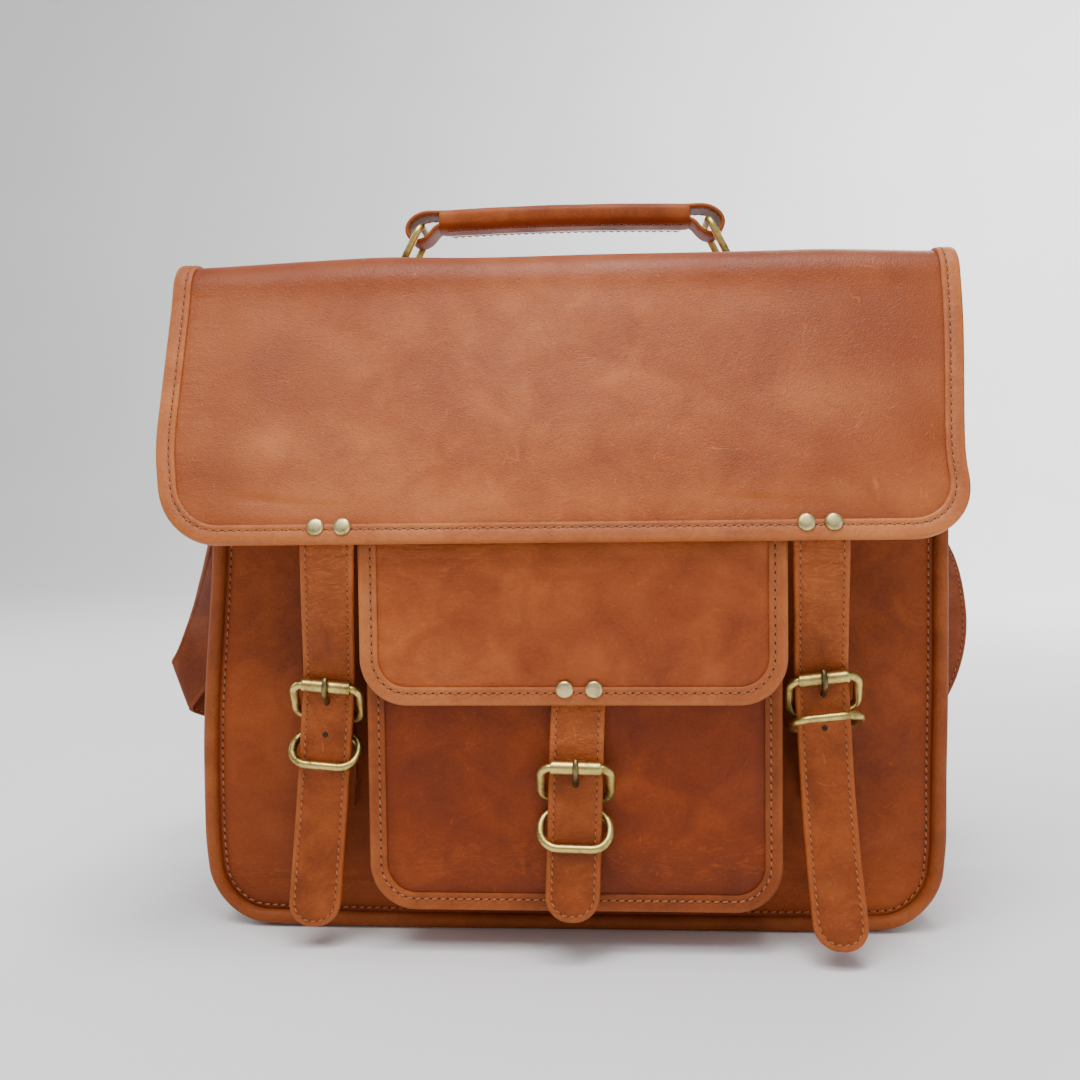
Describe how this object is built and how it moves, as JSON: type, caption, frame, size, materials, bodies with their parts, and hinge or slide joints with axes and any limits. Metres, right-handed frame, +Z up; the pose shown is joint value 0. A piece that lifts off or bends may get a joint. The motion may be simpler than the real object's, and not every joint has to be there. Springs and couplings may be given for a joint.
{
  "type": "satchel bag",
  "caption": "Leather satchel with drop flap, buckled straps, flap-covered front pocket, ringed top handle and clip-on shoulder strap.",
  "frame": {"origin": "centre of the base, on the surface that the bag stands on", "axes": "+X to the right seen from the front, +Y to the back, +Z up"},
  "size_m": [0.4874, 0.2998, 0.3678],
  "materials": {
    "body_leather": "oiled pull-up leather, satin, mottled with soft scuffs",
    "binding_leather": "folded edge leather, slightly lighter and worn",
    "strap_leather": "stitched two-layer strap leather, satin",
    "lining_cloth": "plain cotton canvas",
    "antique_brass": "antique brass, dark in the recesses",
    "rivet_brass": "antique brass caps, brightly rubbed on top"
  },
  "bodies": {
    "bag": {"base_panel": "body_leather", "gusset_left": "body_leather", "gusset_right": "body_leather", "front_panel": "body_leather", "back_panel": "body_leather", "front_binding": "binding_leather", "back_binding": "binding_leather", "lining": "lining_cloth", "divider": "lining_cloth", "pocket_face": "body_leather", "pocket_gusset": "body_leather", "pocket_binding": "binding_leather", "pocket_flap_top": "body_leather", "pocket_flap_fold": "body_leather", "chape_left": "strap_leather", "chape_right": "strap_leather", "chape_pocket": "strap_leather", "side_tabs": "strap_leather", "flap_back_fold": "body_leather", "shoulder_strap": "strap_leather"},
    "flap_top": {"flap_top_panel": "body_leather", "flap_top_binding": "binding_leather", "flap_front_fold": "body_leather", "handle_anchor_left": "strap_leather", "handle_anchor_right": "strap_leather"},
    "flap_front": {"flap_front_panel": "body_leather", "flap_front_binding": "binding_leather", "flap_rivets": "rivet_brass", "strap_heads": "strap_leather"},
    "strap_left": {"strap_left": "strap_leather"},
    "strap_right": {"strap_right": "strap_leather"},
    "pocket_flap": {"pocket_flap_panel": "body_leather", "pocket_flap_binding": "binding_leather", "pocket_rivets": "rivet_brass", "pocket_strap_head": "strap_leather"},
    "pocket_strap": {"pocket_strap": "strap_leather"},
    "handle": {"handle_strap": "strap_leather", "handle_grip": "strap_leather"},
    "frame_left": {"frame_left": "antique_brass"},
    "roller_left": {"roller_left": "antique_brass"},
    "prong_left": {"prong_left": "antique_brass"},
    "keeper_left": {"keeper_left": "antique_brass"},
    "frame_right": {"frame_right": "antique_brass"},
    "roller_right": {"roller_right": "antique_brass"},
    "prong_right": {"prong_right": "antique_brass"},
    "keeper_right": {"keeper_right": "antique_brass"},
    "frame_pocket": {"frame_pocket": "antique_brass"},
    "roller_pocket": {"roller_pocket": "antique_brass"},
    "prong_pocket": {"prong_pocket": "antique_brass"},
    "keeper_pocket": {"keeper_pocket": "antique_brass"},
    "ring_left": {"ring_left": "antique_brass"},
    "d_ring_left": {"d_ring_left": "antique_brass"},
    "hook_left": {"hook_left": "antique_brass"},
    "eye_left": {"eye_left": "antique_brass"},
    "ring_right": {"ring_right": "antique_brass"},
    "d_ring_right": {"d_ring_right": "antique_brass"},
    "hook_right": {"hook_right": "antique_brass"},
    "eye_right": {"eye_right": "antique_brass"}
  },
  "joints": [
    {"name": "flap_lift", "type": "hinge", "parent": "bag", "child": "flap_top", "pos_m": [0, 0.05263, 0.32423], "axis": [-1, 0, 0], "range_deg": [0, 105], "deforming": ["flap_back_fold"]},
    {"name": "flap_fold", "type": "hinge", "parent": "flap_top", "child": "flap_front", "pos_m": [0, -0.05249, 0.32512], "axis": [-1, 0, 0], "range_deg": [0, 60], "deforming": ["flap_front_fold"]},
    {"name": "strap_left_swing", "type": "hinge", "parent": "flap_front", "child": "strap_left", "pos_m": [-0.1062, -0.10029, 0.19344], "axis": [-1, 0, 0], "range_deg": [0, 60], "deforming": ["strap_left"]},
    {"name": "strap_right_swing", "type": "hinge", "parent": "flap_front", "child": "strap_right", "pos_m": [0.1168, -0.10029, 0.19344], "axis": [-1, 0, 0], "range_deg": [0, 60], "deforming": ["strap_right"]},
    {"name": "pocket_flap_lift", "type": "hinge", "parent": "bag", "child": "pocket_flap", "pos_m": [0.0048, -0.0946, 0.187], "axis": [-1, 0, 0], "range_deg": [0, 80], "deforming": ["pocket_flap_fold"]},
    {"name": "pocket_strap_swing", "type": "hinge", "parent": "pocket_flap", "child": "pocket_strap", "pos_m": [0.0083, -0.0918, 0.1194], "axis": [-1, 0, 0], "range_deg": [0, 60], "deforming": ["pocket_strap"]},
    {"name": "frame_left_tilt", "type": "hinge", "parent": "bag", "child": "frame_left", "pos_m": [-0.11294, -0.0739, 0.11006], "axis": [0.9962, 0, -0.0872], "range_deg": [0, 45]},
    {"name": "roller_left_spin", "type": "hinge", "parent": "frame_left", "child": "roller_left", "pos_m": [-0.1115, -0.0852, 0.1265], "axis": [0.9962, 0, -0.0872], "continuous": true},
    {"name": "prong_left_lift", "type": "hinge", "parent": "frame_left", "child": "prong_left", "pos_m": [-0.11294, -0.0739, 0.11006], "axis": [0.9962, 0, -0.0872], "range_deg": [0, 45]},
    {"name": "keeper_left_swing", "type": "hinge", "parent": "bag", "child": "keeper_left", "pos_m": [-0.11371, -0.0715, 0.10129], "axis": [-0.9962, 0, 0.0872], "range_deg": [0, 45]},
    {"name": "frame_right_tilt", "type": "hinge", "parent": "bag", "child": "frame_right", "pos_m": [0.12172, -0.0739, 0.11359], "axis": [0.9945, 0, 0.1045], "range_deg": [0, 25]},
    {"name": "roller_right_spin", "type": "hinge", "parent": "frame_right", "child": "roller_right", "pos_m": [0.12, -0.0852, 0.13], "axis": [0.9945, 0, 0.1045], "continuous": true},
    {"name": "prong_right_lift", "type": "hinge", "parent": "frame_right", "child": "prong_right", "pos_m": [0.12172, -0.0739, 0.11359], "axis": [0.9945, 0, 0.1045], "range_deg": [0, 25]},
    {"name": "keeper_right_swing", "type": "hinge", "parent": "bag", "child": "keeper_right", "pos_m": [0.12265, -0.0715, 0.10484], "axis": [0.9945, 0, 0.1045], "range_deg": [-10, 30]},
    {"name": "frame_pocket_tilt", "type": "hinge", "parent": "bag", "child": "frame_pocket", "pos_m": [0.00607, -0.0912, 0.0758], "axis": [0.9997, 0, -0.0262], "range_deg": [0, 45]},
    {"name": "roller_pocket_spin", "type": "hinge", "parent": "frame_pocket", "child": "roller_pocket", "pos_m": [0.0065, -0.1025, 0.0923], "axis": [0.9997, 0, -0.0262], "continuous": true},
    {"name": "prong_pocket_lift", "type": "hinge", "parent": "frame_pocket", "child": "prong_pocket", "pos_m": [0.00607, -0.0912, 0.0758], "axis": [0.9997, 0, -0.0262], "range_deg": [0, 25]},
    {"name": "keeper_pocket_swing", "type": "hinge", "parent": "bag", "child": "keeper_pocket", "pos_m": [0.00591, -0.0909, 0.06961], "axis": [-0.9997, 0, 0.0262], "range_deg": [0, 25]},
    {"name": "ring_left_lean", "type": "hinge", "parent": "flap_top", "child": "ring_left", "pos_m": [-0.087, 0, 0.334], "axis": [0, 1, 0], "range_deg": [-12, 12]},
    {"name": "handle_tilt", "type": "hinge", "parent": "ring_left", "child": "handle", "pos_m": [-0.075, 0, 0.3575], "axis": [0, 1, 0], "range_deg": [-14, 14]},
    {"name": "ring_right_lean", "type": "hinge", "parent": "flap_top", "child": "ring_right", "pos_m": [0.087, 0, 0.334], "axis": [0, 1, 0], "range_deg": [-12, 12]},
    {"name": "d_ring_left_swing", "type": "hinge", "parent": "bag", "child": "d_ring_left", "pos_m": [-0.188, 0, 0.268], "axis": [0, 1, 0], "range_deg": [0, 70], "deforming": ["shoulder_strap"]},
    {"name": "hook_left_swing", "type": "hinge", "parent": "d_ring_left", "child": "hook_left", "pos_m": [-0.188, 0, 0.25], "axis": [0, 1, 0], "range_deg": [0, 25], "deforming": ["shoulder_strap"]},
    {"name": "eye_left_swivel", "type": "hinge", "parent": "hook_left", "child": "eye_left", "pos_m": [-0.188, 0, 0.2253], "axis": [0, 0, 1], "range_deg": [-10, 10], "deforming": ["shoulder_strap"]},
    {"name": "d_ring_right_swing", "type": "hinge", "parent": "bag", "child": "d_ring_right", "pos_m": [0.188, 0, 0.268], "axis": [0, -1, 0], "range_deg": [0, 70], "deforming": ["shoulder_strap"]},
    {"name": "hook_right_swing", "type": "hinge", "parent": "d_ring_right", "child": "hook_right", "pos_m": [0.188, 0, 0.25], "axis": [0, -1, 0], "range_deg": [0, 25], "deforming": ["shoulder_strap"]},
    {"name": "eye_right_swivel", "type": "hinge", "parent": "hook_right", "child": "eye_right", "pos_m": [0.188, 0, 0.2253], "axis": [0, 0, 1], "range_deg": [-10, 10], "deforming": ["shoulder_strap"]}
  ],
  "couplings": [
    {"joint": "handle_tilt", "follows": "ring_left_lean", "ratio": -1.16},
    {"joint": "ring_right_lean", "follows": "ring_left_lean", "ratio": 1}
  ]
}
